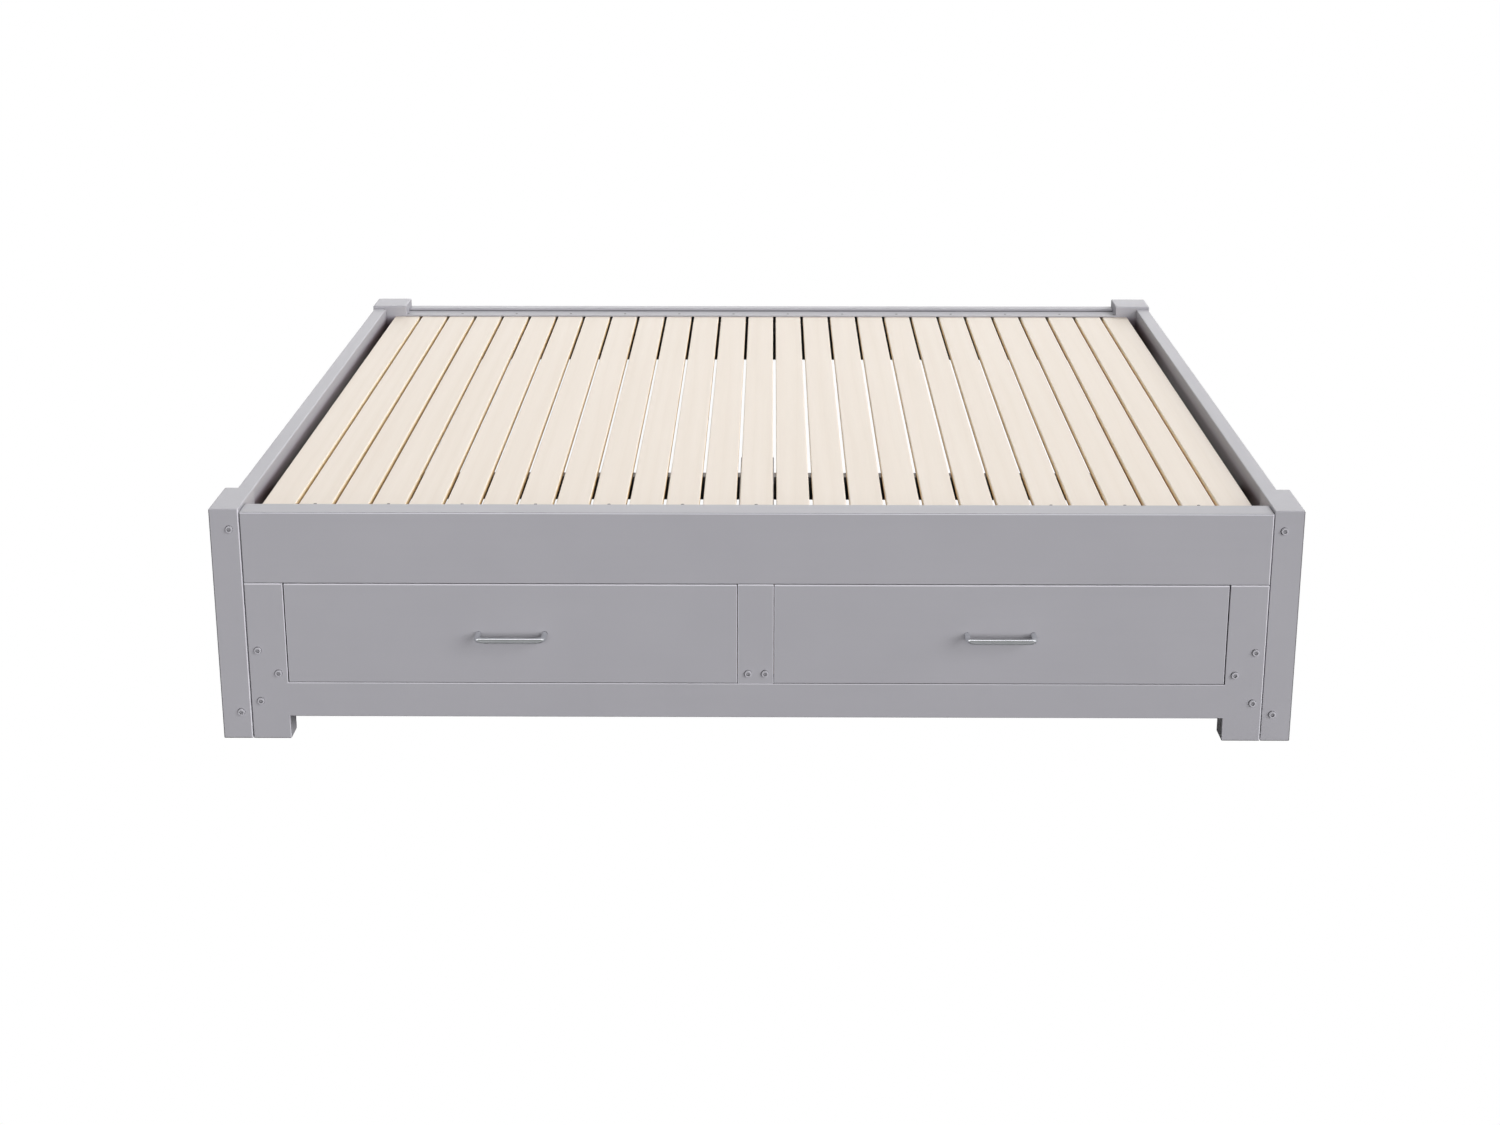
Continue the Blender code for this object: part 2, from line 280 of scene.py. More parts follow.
def end_grain():
    look = Look("slat_wood_end")
    flat = look.coords((1.0, 1.0, 1.0), wander=(3.7, 11.3, 5.1))
    years = look.rings(flat, 60.0, 5.0, 2.0, "X")
    pores = look.noise(flat, 1500.0, 2.0, 0.5)
    tone = look.ramp(
        years, (0.0, (0.520, 0.390, 0.250)), (1.0, (0.690, 0.560, 0.400))
    )
    look.to("Base Color", look.shade(tone, look.ramp(pores, (0.3, 0.86), (0.6, 1.0))))
    look.to("Roughness", look.ramp(pores, (0.3, 0.66), (0.7, 0.76)))
    look.to("Normal", look.bump(pores, 0.25, 0.0003))
    return look.made


def raw_wood(grain):
    """Unpainted softwood, for what carries the slats and the drawers."""
    look = Look("plain_wood_" + grain)
    along = look.coords(ALONG[grain], wander=(2.9, 7.7, 4.3))
    figure = look.rings(
        along, 14.0, 9.0, 3.0, {"x": "Z", "y": "Z", "z": "X"}[grain]
    )
    streaks = look.noise(along, 260.0, 4.0, 0.6, 0.3)
    patches = look.noise(along, 30.0, 3.0, 0.5, 0.4)
    tone = look.ramp(
        patches, (0.28, (0.560, 0.430, 0.280)), (0.72, (0.640, 0.510, 0.350))
    )
    lines = look.ramp(
        figure, (0.0, (0.86, 0.80, 0.72)), (0.5, 1.0), (1.0, (0.95, 0.93, 0.90))
    )
    fibre = look.ramp(streaks, (0.30, (0.93, 0.91, 0.88)), (0.65, 1.0))
    look.to("Base Color", look.shade(look.shade(tone, lines), fibre))
    look.to("Roughness", look.ramp(streaks, (0.30, 0.58), (0.70, 0.70)))
    look.to("Normal", look.bump(streaks, 0.20, 0.0003))
    return look.made


def plywood():
    look = Look("plywood")
    along = look.coords((0.10, 1.0, 1.0), wander=(2.9, 7.7, 4.3))
    figure = look.rings(along, 5.0, 14.0, 4.0, "Y")
    streaks = look.noise(along, 300.0, 4.0, 0.65, 0.3)
    tone = look.ramp(
        figure,
        (0.0, (0.520, 0.395, 0.255)),
        (0.45, (0.620, 0.510, 0.360)),
        (1.0, (0.590, 0.475, 0.330)),
    )
    fibre = look.ramp(streaks, (0.30, (0.90, 0.88, 0.84)), (0.65, 1.0))
    look.to("Base Color", look.shade(tone, fibre))
    look.to("Roughness", look.ramp(streaks, (0.30, 0.55), (0.70, 0.66)))
    look.to("Normal", look.bump(streaks, 0.18, 0.00025))
    return look.made


def bright_steel():
    """Polished steel rod with fine drawing marks along the bar."""
    look = Look("handle_steel")
    along = look.coords((0.02, 1.0, 1.0))
    marks = look.noise(along, 1800.0, 3.0, 0.6)
    blush = look.noise(look.coords((1.0, 1.0, 1.0)), 45.0, 3.0, 0.5)
    look.set(Metallic=1.0)
    look.to(
        "Base Color",
        look.ramp(blush, (0.3, (0.70, 0.72, 0.74)), (0.7, (0.76, 0.78, 0.80))),
    )
    look.to("Roughness", look.ramp(marks, (0.3, 0.15), (0.7, 0.22)))
    look.to("Normal", look.bump(marks, 0.04, 0.0001))
    return look.made


def screw_steel():
    look = Look("screw_steel")
    flat = look.coords((1.0, 1.0, 1.0), wander=(1.0, 2.0, 3.0))
    stain = look.noise(flat, 700.0, 3.0, 0.6)
    look.set(Metallic=0.9)
    look.to(
        "Base Color",
        look.ramp(stain, (0.3, (0.10, 0.095, 0.09)), (0.7, (0.17, 0.16, 0.15))),
    )
    look.to("Roughness", look.ramp(stain, (0.3, 0.38), (0.7, 0.52)))
    look.to("Normal", look.bump(stain, 0.1, 0.0002))
    return look.made


PAINT = {grain: painted(grain) for grain in "xyz"}
STRIP_PAINT = painted("x", "painted_strip", 0.93)
# painted highlight: a lighter copy of the paint for edges that catch the light
HIGHLIGHT_PAINT = painted("x", "painted_edge", 1.75)
# painted shade: a darker copy of the paint for the front rail's top
TOP_SHADE_PAINT = painted("x", "painted_top", 0.92)
# painted shade: a dark line along the front rail's top edge
SHADE_LINE_PAINT = painted("x", "painted_quirk", 0.55)
# painted shade: a darker copy of the paint for edges turned from the light
EDGE_SHADE_PAINT = painted("x", "painted_rim", 0.40)
# painted shade: a dark copy of the paint for the faces in the gaps round the drawers
GAP_SHADE_PAINT = painted("x", "painted_gap", 0.38)
# painted light and shade on the bolts: the heads a lighter copy of the paint for their
# lit rings, the sockets darker for the shade in them
LIT_BOLT_PAINT = painted("z", "painted_bolt", 1.20)
SOCKET_SHADE_PAINT = painted("z", "painted_socket", 0.30)
SOCKET_FLOOR_SHADE_PAINT = painted("z", "painted_socket_floor", 0.72)
# Painted shade: below the slats' level the insides are painted darker, deepest at the
# bottom, for the shade under the slats.
INSIDE_SHADE_PAINT = painted(
    "y",
    "painted_inside",
    1.0,
    (
        (0.428, (0.060, 0.036, 0.026)),
        (0.433, (0.180, 0.126, 0.110)),
        (0.440, (0.290, 0.210, 0.215)),
        (0.447, (0.355, 0.275, 0.290)),
        (0.452, (0.565, 0.485, 0.515)),
        (0.458, (0.960, 0.890, 0.920)),
        (0.463, 1.0),
    ),
)
# painted shade: the cross beam darkens below its top, its front face in the shade
# under the slats
BEAM_SHADE_PAINT = painted(
    "x", "painted_beam", 0.85, ((0.425, 0.16), (0.4425, 0.30), (0.4440, 1.0))
)
# painted shade too on the rear posts' front faces below the slats, and a dark copy of
# the paint for the back ledger there
REAR_POST_SHADE_PAINT = painted(
    "x",
    "painted_rear_post",
    0.92,
    (
        (0.438, (0.230, 0.180, 0.185)),
        (0.450, (0.400, 0.340, 0.360)),
        (0.458, (0.760, 0.720, 0.750)),
        (0.464, 1.0),
    ),
)
LEDGER_SHADE_PAINT = painted("x", "painted_ledger", 0.14)
# painted shade: the back rail's front face darkens where it meets the strip, and is
# painted a touch lighter above
STRIP_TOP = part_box("slat_end_strip")[1].z
CREVICE_SHADE_PAINT = painted(
    "x",
    "painted_crevice",
    1.06,
    (
        (STRIP_TOP - 0.0060, 0.07),
        (STRIP_TOP - 0.0030, 0.34),
        (STRIP_TOP + 0.0006, 0.40),
        (STRIP_TOP + 0.0036, 1.0),
    ),
)
RAW = {grain: raw_wood(grain) for grain in "xyz"}
SLAT_FACE = slat_face()
# the left-facing edges are painted darker than the right-facing ones, painted shade on
# the side away from the light
SLAT_RIGHT_EDGE_SHADED = shaded_slat_edge(
    "slat_wood_right_edge",
    (0.443, (0.260, 0.150, 0.060)),
    (0.448, (0.560, 0.350, 0.150)),
    (0.453, (0.930, 0.690, 0.370)),
    (0.459, (0.980, 0.880, 0.680)),
)
SLAT_LEFT_EDGE_SHADED = shaded_slat_edge(
    "slat_wood_left_edge",
    (0.4440, (0.090, 0.042, 0.018)),
    (0.4480, (0.340, 0.190, 0.085)),
    (0.4520, (0.960, 0.690, 0.400)),
    (0.4570, (0.990, 0.900, 0.740)),
)
SLAT_END = end_grain()
PLY = plywood()
STEEL = bright_steel()
SCREW = screw_steel()


# ================================================================== shaping
def settle(obj):
    """Turns the modifiers into plain mesh."""
    bpy.context.view_layer.update()
    graph = bpy.context.evaluated_depsgraph_get()
    shaped = bpy.data.meshes.new_from_object(obj.evaluated_get(graph))
    obj.modifiers.clear()
    obj.data = shaped
    shaped.name = obj.name
    return obj


def ease(obj, widest, segments):
    """Rounds the edges by the weights that they carry."""
    for face in obj.data.polygons:
        face.use_smooth = True
    round_off = obj.modifiers.new("rounded edges", "BEVEL")
    round_off.width = widest
    round_off.segments = segments
    round_off.limit_method = "WEIGHT"
    round_off.harden_normals = True
    round_off.miter_outer = "MITER_SHARP"
    return settle(obj)


def from_cells(name, xs, ys, zs, cells, radius, segments=4):
    """A solid of the given cells of a grid. radius(a, b, middle) gives how
    round the edge is between outside faces with normals a and b."""
    made = bpy.data.meshes.new(name)
    work = bmesh.new()
    corners = {}

    def corner(i, j, k):
        key = (i, j, k)
        if key not in corners:
            corners[key] = work.verts.new((xs[i], ys[j], zs[k]))
        return corners[key]

    filled = set(cells)
    sides = {
        (-1, 0, 0): ((0, 0, 0), (0, 0, 1), (0, 1, 1), (0, 1, 0)),
        (1, 0, 0): ((1, 0, 0), (1, 1, 0), (1, 1, 1), (1, 0, 1)),
        (0, -1, 0): ((0, 0, 0), (1, 0, 0), (1, 0, 1), (0, 0, 1)),
        (0, 1, 0): ((0, 1, 0), (0, 1, 1), (1, 1, 1), (1, 1, 0)),
        (0, 0, -1): ((0, 0, 0), (0, 1, 0), (1, 1, 0), (1, 0, 0)),
        (0, 0, 1): ((0, 0, 1), (1, 0, 1), (1, 1, 1), (0, 1, 1)),
    }
    for i, j, k in sorted(filled):
        for (dx, dy, dz), loop in sides.items():
            if (i + dx, j + dy, k + dz) not in filled:
                work.faces.new([corner(i + a, j + b, k + c) for a, b, c in loop])
    work.normal_update()
    weight = work.edges.layers.float.new("bevel_weight_edge")
    rounds = {}
    for edge in work.edges:
        if len(edge.link_faces) != 2:
            continue
        a, b = (face.normal.copy() for face in edge.link_faces)
        if a.dot(b) > 0.5:
            continue
        middle = (edge.verts[0].co + edge.verts[1].co) / 2
        centre = sum((f.calc_center_median() for f in edge.link_faces), Vector()) / 2
        if (middle - centre).dot(a + b) < 0:
            continue  # an inside corner stays sharp
        rounds[edge] = radius(a, b, middle)
    widest = max(rounds.values())
    for edge, size in rounds.items():
        edge[weight] = size / widest
    work.to_mesh(made)
    work.free()
    obj = bpy.data.objects.new(name, made)
    SCENE.collection.objects.link(obj)
    return ease(obj, widest, segments)


def board(
    node, look, slot, radius=0.0015, segments=4, name=None, trim=None, **edges
):
    """Rebuilds a board with rounded edges. Keyword names such as top_front
    give single edges their own radius, and trim draws single faces back a
    little from the next board."""
    low, high = (Vector(corner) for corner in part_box(node))
    words = {
        "left": Vector((-1, 0, 0)),
        "right": Vector((1, 0, 0)),
        "front": Vector((0, -1, 0)),
        "back": Vector((0, 1, 0)),
        "low": Vector((0, 0, -1)),
        "top": Vector((0, 0, 1)),
    }
    for word, inset in (trim or {}).items():
        corner = high if sum(words[word]) > 0 else low
        corner[:] = corner - words[word] * inset

    def size(a, b, _middle):
        for pair, value in edges.items():
            one, two = (words[w] for w in pair.split("_"))
            if (a.dot(one) > 0.9 and b.dot(two) > 0.9) or (
                a.dot(two) > 0.9 and b.dot(one) > 0.9
            ):
                return value
        return radius

    obj = from_cells(
        name or node + "_shaped",
        (low.x, high.x),
        (low.y, high.y),
        (low.z, high.z),
        [(0, 0, 0)],
        size,
        segments,
    )
    obj.data.materials.clear()
    obj.data.materials.append(look)
    return stand_for(obj, slot, node)


def highlight_edges(obj, *ways):
    """Paints the rounded edges that face one of the ways in a lighter copy of the
    paint: a painted highlight, where the edges catch the light."""
    obj.data.materials.append(HIGHLIGHT_PAINT)
    number = len(obj.data.materials) - 1
    for face in obj.data.polygons:
        if max(abs(v) for v in face.normal) > 0.985:
            continue
        if any(face.normal.dot(Vector(way).normalized()) > 0.80 for way in ways):
            face.material_index = number
    return obj


def face_look(obj, look, way, least=0.985):
    """Gives the faces that look the given way a look of their own; with a
    lower least, the rounded edges about that way and none of the flats."""
    obj.data.materials.append(look)
    number = len(obj.data.materials) - 1
    for face in obj.data.polygons:
        flat = max(abs(v) for v in face.normal) > 0.985
        if face.normal.dot(Vector(way)) > least and flat == (least > 0.98):
            face.material_index = number
    return obj


TOP_FRONT, RIGHT_FRONT, LEFT_FRONT = (0, -1, 1), (1, -1, 0), (-1, -1, 0)
LOW_FRONT = (0, -1, -1)


def shade_edges(obj, *ways):
    """Paints the rounded edges that face one of the ways in a darker copy of the
    paint: painted shade, a dark outline along the foot and along edges turned from the
    light."""
    for way in ways:
        face_look(obj, EDGE_SHADE_PAINT, Vector(way).normalized(), 0.80)
    return obj


def stand_for(obj, slot, *nodes):
    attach(obj, NODES[nodes[0]]["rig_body"])
    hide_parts(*nodes)
    return obj


# ============================================================= painted frame
for word, inner in (("left", "right"), ("right", "left")):
    post = board(
        f"{word}_front_post",
        PAINT["z"],
        "painted_wood",
        0.0018,
        top_front=0.0030,
        top_left=0.0026,
        top_right=0.0026,
        top_back=0.0026,
        low_front=0.0024,
        # only the edges that face right catch the light beside a seam
        **{
            f"front_{inner}": 0.0024 if inner == "right" else 0.0012,
            f"front_{word}": 0.0022,
        },
    )
    # painted shade along the post's foot and its outer edge
    shade_edges(post, LOW_FRONT, LEFT_FRONT if word == "left" else RIGHT_FRONT)
    # the left post's right-facing edge beside the seam gets the painted highlight
    if inner == "right":
        highlight_edges(post, RIGHT_FRONT)
    back = board(
        f"{word}_back_post",
        PAINT["z"],
        "painted_wood",
        0.0022,
        top_front=0.0036,
        top_left=0.0030,
        top_right=0.0030,
        top_back=0.0030,
    )
    # painted shade on the post's front face below the slats
    face_look(back, REAR_POST_SHADE_PAINT, (0, -1, 0))
    side = board(
        f"{word}_side_rail",
        PAINT["y"],
        "painted_wood",
        0.0018,
        top_left=0.0026,
        top_right=0.0026,
    )
    # painted shade on the rail's inner face below the slats
    face_look(side, INSIDE_SHADE_PAINT, (1 if word == "left" else -1, 0, 0))

SEAM = 0.0009
rail = board(
    "front_rail",
    PAINT["x"],
    "painted_wood",
    0.0010,
    trim={"left": SEAM, "right": SEAM},
    top_front=0.0024,
    top_back=0.0018,
    front_right=0.0024,
    front_left=0.0018,
)
# painted highlight on the rail's top-front and right-facing edges
highlight_edges(rail, TOP_FRONT, RIGHT_FRONT)
# painted shade on the rail's left-facing edge
shade_edges(rail, LEFT_FRONT)
# painted shade: the rail's top a shade darker than its other faces
face_look(rail, TOP_SHADE_PAINT, (0, 0, 1))
# painted shade: the upper part of the front edge's rounding is darker, a dark line
# along the edge
rail.data.materials.append(SHADE_LINE_PAINT)
for face in rail.data.polygons:
    if 0.72 < face.normal.z < 0.985 and face.normal.y < 0:
        face.material_index = len(rail.data.materials) - 1
# painted shade on the rail's underside, above the drawers
face_look(rail, GAP_SHADE_PAINT, (0, 0, -1))
back_rail = board("back_rail", PAINT["x"], "painted_wood", 0.0018, top_front=0.0026)
# painted shade on the back rail's front face, at the strip
face_look(back_rail, CREVICE_SHADE_PAINT, (0, -1, 0))
stile = board(
    "centre_stile",
    PAINT["z"],
    "painted_wood",
    0.0013,
    trim={"top": SEAM},
    top_front=0.0024,
)
# painted highlight on the stile's front edges
highlight_edges(stile, TOP_FRONT, RIGHT_FRONT, LEFT_FRONT)
# painted shade on the stile's sides and top, in the gaps
for way in ((1, 0, 0), (-1, 0, 0), (0, 0, 1)):
    face_look(stile, GAP_SHADE_PAINT, way)
board(
    "slat_end_strip",
    STRIP_PAINT,
    "painted_wood",
    0.0009,
    segments=3,
    trim={"back": 0.0055},
)

# The leg boards and the bottom rail are filled and painted over as one.
left_low, left_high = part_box("left_leg_board")
right_low, right_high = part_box("right_leg_board")
base_low, base_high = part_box("bottom_rail")


def apron_edges(a, b, middle):
    if a.y + b.y < -0.9:
        if a.x + b.x < -0.9 and middle.x < left_low.x + 0.01:
            return 0.0018  # beside the left post
        if a.z + b.z > 0.9:
            return 0.0024
        if a.x + b.x > 0.9:
            return 0.0024
        return 0.0022 if a.z + b.z < -0.9 else 0.0012
    return 0.0016


apron = from_cells(
    "front_apron",
    (left_low.x + SEAM, left_high.x, right_low.x, right_high.x - SEAM),
    (left_low.y, left_high.y),
    (0.0, base_low.z, base_high.z, left_high.z - SEAM),
    [(0, 0, 0), (0, 0, 1), (0, 0, 2), (1, 0, 1), (2, 0, 0), (2, 0, 1), (2, 0, 2)],
    apron_edges,
)
apron.data.materials.clear()
apron.data.materials.append(PAINT["x"])
apron.data.materials.append(PAINT["z"])
for face in apron.data.polygons:
    if abs(face.center.x) > right_low.x:
        face.material_index = 1
# painted highlight on the apron's top-front and right-facing edges
highlight_edges(apron, TOP_FRONT, RIGHT_FRONT)
# painted shade along the apron's foot
shade_edges(apron, LOW_FRONT)
# painted shade: the rounded edge beside the left post takes the dark edge paint, a
# dark seam line
for face in apron.data.polygons:
    beside = face.center.x < left_low.x + 0.004 and face.normal.x < -0.17
    if beside and face.normal.y < -0.17:
        face.material_index = len(apron.data.materials) - 1
# painted light: the legs' faces towards each other, below the bottom rail, take the
# lighter highlight paint, for light thrown up from the floor
for face in apron.data.polygons:
    inward = face.normal.x * face.center.x < 0 and abs(face.normal.x) > 0.985
    if inward and face.center.z < base_low.z:
        face.material_index = 2
# painted shade: the rims of the two openings that the drawers close, dark as the shade
# in the gaps
apron.data.materials.append(GAP_SHADE_PAINT)
for face in apron.data.polygons:
    inward = face.normal.x * face.center.x < 0 and abs(face.normal.x) > 0.985
    sill = face.normal.z > 0.985 and abs(face.center.x) < right_low.x
    if sill or (inward and face.center.z > base_high.z):
        face.material_index = len(apron.data.materials) - 1
stand_for(apron, "painted_wood", "left_leg_board", "bottom_rail", "right_leg_board")

# ===================================================================== slats
for index in range(1, 28):
    node = f"slat_{index:02d}"
    slat = board(node, SLAT_FACE, "slat_wood", 0.0022, segments=4)
    # the edges take the painted shade of the gaps between the slats
    slat.data.materials.append(SLAT_RIGHT_EDGE_SHADED)
    slat.data.materials.append(SLAT_LEFT_EDGE_SHADED)
    slat.data.materials.append(SLAT_END)
    for face in slat.data.polygons:
        if face.normal.x > 0.85:
            face.material_index = 1
        elif face.normal.x < -0.85:
            face.material_index = 2
        elif abs(face.normal.y) > 0.85:
            face.material_index = 3

# =================================================================== drawers
for word in ("left", "right"):
    front = board(
        f"{word}_drawer_front",
        PAINT["x"],
        "painted_wood",
        0.0011,
        segments=3,
        trim={"top": 0.0006},
        top_front=0.0024,
    )
    # painted highlight on the drawer front's top and side edges
    highlight_edges(front, TOP_FRONT, RIGHT_FRONT, LEFT_FRONT)


# =================================================================== handles
def rod(name, path, radius, sides=28):
    """A round bar along a path in a plane of constant Z."""
    made = bpy.data.meshes.new(name)
    work = bmesh.new()
    rings = []
    for index, point in enumerate(path):
        before = path[max(index - 1, 0)]
        after = path[min(index + 1, len(path) - 1)]
        heading = (after - before).normalized()
        side = heading.cross(Vector((0, 0, 1))).normalized()
        ring = []
        for step in range(sides):
            angle = 2 * math.pi * step / sides
            offset = side * math.cos(angle) + Vector((0, 0, 1)) * math.sin(angle)
            ring.append(work.verts.new(point + offset * radius))
        rings.append(ring)
    for one, two in zip(rings, rings[1:]):
        for step in range(sides):
            after = (step + 1) % sides
            work.faces.new((one[step], one[after], two[after], two[step]))
    work.faces.new(rings[0][::-1])
    work.faces.new(rings[-1])
    bmesh.ops.recalc_face_normals(work, faces=work.faces[:])
    for face in work.faces:
        face.smooth = len(face.verts) == 4
    work.to_mesh(made)
    work.free()
    obj = bpy.data.objects.new(name, made)
    SCENE.collection.objects.link(obj)
    return obj


HANDLE_BEND = 0.015
HANDLES = []
for word in ("left", "right"):
    node = f"{word}_drawer_handle"
    low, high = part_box(node)
    radius = (high.z - low.z) / 2
    level = (high.z + low.z) / 2
    left, right = low.x + radius, high.x - radius
    reach, foot = low.y + radius, high.y
    path = [Vector((left, foot, level)), Vector((left, foot - 0.004, level))]
    steps = 14
    for step in range(steps + 1):
        angle = math.pi / 2 * step / steps
        path.append(
            Vector(
                (
                    left + HANDLE_BEND * (1 - math.cos(angle)),
                    reach + HANDLE_BEND * (1 - math.sin(angle)),
                    level,
                )
            )
        )
    for step in range(1, 8):
        share = step / 8
        span = (right - HANDLE_BEND) - (left + HANDLE_BEND)
        path.append(Vector((left + HANDLE_BEND + span * share, reach, level)))
    for step in range(steps + 1):
        angle = math.pi / 2 * step / steps
        path.append(
            Vector(
                (
                    right - HANDLE_BEND * (1 - math.sin(angle)),
                    reach + HANDLE_BEND * (1 - math.cos(angle)),
                    level,
                )
            )
        )
    path += [Vector((right, foot - 0.004, level)), Vector((right, foot, level))]
    handle = rod(f"{node}_shaped", path, radius)
    handle.data.materials.append(STEEL)
    stand_for(handle, "handle_steel", node)
    HANDLES.append(handle)


# ================================================================= fasteners
def head(
    name,
    centre,
    facing,
    profile,
    socket,
    look,
    sides=36,
    within=None,
    bottom=None,
    seat=0,
    shadow_shift=0.0,
):
    """A bolt or screw head: rings out of its axis, then a socket. within is a look for
    the inside of the socket, painted shade in the recess, and for the first bands of
    the profile, as many as seat says, which are a dark washer below the head that
    stands for the head's shadow; the washer is shifted aside by shadow_shift, the way
    the shadow falls. bottom is a look for the socket's floor, painted a shade darker
    than the head.

    profile is (radius, height) from the rim inwards; socket is (shape,
    radius at the mouth, radius at the floor, height of the floor), where
    shape(angle) is 1 at the corners of the socket.
    """
    made = bpy.data.meshes.new(name)
    work = bmesh.new()
    shape, mouth, floor_radius, floor_height = socket
    rings = [[(r, h)] * sides for r, h in profile]
    top = profile[-1][1]
    angles = [2 * math.pi * step / sides for step in range(sides)]
    rings.append([(mouth * shape(a), top) for a in angles])
    rings.append([(mouth * 0.97 * shape(a), top - 0.0002) for a in angles])
    rings.append([(floor_radius * shape(a), floor_height) for a in angles])
    loops = []
    for count, ring in enumerate(rings):
        aside = shadow_shift if count < seat else 0.0
        loops.append(
            [
                work.verts.new((r * math.cos(a) + aside, r * math.sin(a), h))
                for a, (r, h) in zip(angles, ring)
            ]
        )
    for one, two in zip(loops, loops[1:]):
        for step in range(sides):
            after = (step + 1) % sides
            work.faces.new((one[step], one[after], two[after], two[step]))
    work.faces.new(loops[-1])
    work.faces.new(loops[0][::-1])
    if within:
        deep = set(loops[-1] + loops[-2])
        under = set(sum(loops[: seat + 1], []))
        for face in work.faces:
            for some in (deep, under):
                if all(vert in some for vert in face.verts):
                    face.material_index = 1
            if bottom and all(vert in loops[-1] for vert in face.verts):
                face.material_index = 2
    bmesh.ops.recalc_face_normals(work, faces=work.faces[:])
    turned = Vector(facing).to_track_quat("Z", "Y").to_matrix().to_4x4()
    work.transform(Matrix.Translation(centre) @ turned)
    for face in work.faces:
        face.smooth = True
    for edge in work.edges:
        if len(edge.link_faces) == 2 and edge.calc_face_angle() > math.radians(38):
            edge.smooth = False
    work.to_mesh(made)
    work.free()
    obj = bpy.data.objects.new(name, made)
    SCENE.collection.objects.link(obj)
    obj.data.materials.append(look)
    if within:
        obj.data.materials.append(within)
    if bottom:
        obj.data.materials.append(bottom)
    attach(obj, "frame")
    return obj


def hexagon(angle):
    return math.cos(math.pi / 6) / math.cos((angle % (math.pi / 3)) - math.pi / 6)


def cross(angle):
    """A cross recess: four blades, drawn in between them."""
    wide = abs(math.cos(2 * angle))
    return 0.34 + 0.66 * wide**3


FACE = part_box("front_rail")[0].y
BOLTS = [("post", 1.0515, 0.4455), ("post", 1.0515, 0.0556)]
BOLTS += [("leg_board", 1.010, 0.189), ("leg_board", 1.010, 0.080)]
BOLTS += [("leg_board", 0.9706, 0.140), ("stile", 0.018, 0.1405)]
BOLT_PROFILE = [
    (0.0074, -0.0006),
    (0.0081, 0.0),
    (0.0081, 0.0003),
    (0.0071, 0.0003),
    (0.0071, 0.0038),
    (0.0070, 0.0044),
    (0.0067, 0.0048),
    (0.0062, 0.0050),
    (0.0052, 0.0049),
]
# painted shadow: each bolt sits on a dark washer shifted to the left, where its shadow
# falls
for count, (where, across, up) in enumerate(BOLTS, 1):
    for side, word in ((-1, "left"), (1, "right")):
        # none sits quite where its twin on the other side does
        if where == "stile":
            aside, lift = 0.0018 - side * 0.0009, 0.0034
        elif side < 0:
            aside, lift = 0.0012, 0.0024
        else:
            aside, lift = -0.0004, 0.0028
        head(
            f"bolt_{where}_{word}_{count}",
            Vector((side * across + aside, FACE, up + lift)),
            (0, -1, 0),
            BOLT_PROFILE,
            (hexagon, 0.0045, 0.0041, 0.0016),
            LIT_BOLT_PAINT,
            within=SOCKET_SHADE_PAINT,
            bottom=SOCKET_FLOOR_SHADE_PAINT,
            seat=3,
            shadow_shift=-0.0006,
        )

SCREW_PROFILE = [
    (0.0030, -0.0006),
    (0.0034, -0.0002),
    (0.0034, 0.0002),
    (0.0031, 0.0005),
    (0.0026, 0.0006),
]
strip_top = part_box("slat_end_strip")[1].z
slat_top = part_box("slat_14")[1].z
for index in range(1, 28):
    low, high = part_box(f"slat_{index:02d}")
    middle = (low.x + high.x) / 2
    if index % 2:
        place = Vector((middle, FACE + 1.995, strip_top))
        name = f"screw_back_{index:02d}"
    else:
        # three right of the middle sit nearer to the rail, out of the
        # photograph's sight
        depth = 0.1235 if index in (16, 18, 20) else 0.1370
        place = Vector((middle, FACE + depth, slat_top))
        name = f"screw_front_{index:02d}"
    head(
        name,
        place,
        (0, 0, 1),
        SCREW_PROFILE,
        (cross, 0.0021, 0.0012, -0.0005),
        SCREW,
        sides=32,
    )

# ============================================== pieces kept as the CAD has them
KEPT = {
    "front_slat_ledger": ("x", PAINT),
    # the back ledger and the cross beam take painted shade
    "back_slat_ledger": ("x", {"x": LEDGER_SHADE_PAINT}),
    "cross_beam": ("x", {"x": BEAM_SHADE_PAINT}),
    "centre_bearer": ("y", PAINT),
    "centre_leg": ("z", PAINT),
    "left_drawer_rail": ("y", RAW),
    "centre_drawer_rail": ("y", RAW),
    "right_drawer_rail": ("y", RAW),
}
for word in ("left", "right"):
    KEPT[f"{word}_drawer_inner_side"] = ("y", RAW)
    KEPT[f"{word}_drawer_outer_side"] = ("y", RAW)
    KEPT[f"{word}_drawer_back"] = ("x", RAW)
for node, (grain, family) in KEPT.items():
    piece = NODES[node]
    piece.data.materials.clear()
    piece.data.materials.append(family[grain])
    eased = piece.modifiers.new("eased edges", "BEVEL")
    eased.width = 0.0007
    eased.segments = 2
    eased.limit_method = "ANGLE"
    eased.angle_limit = math.radians(50)
for word in ("left", "right"):
    panel = NODES[f"{word}_drawer_bottom"]
    panel.data.materials.clear()
    panel.data.materials.append(PLY)


# ============================================================ floor and light
def link(tree, one, two):
    tree.links.new(one, two)


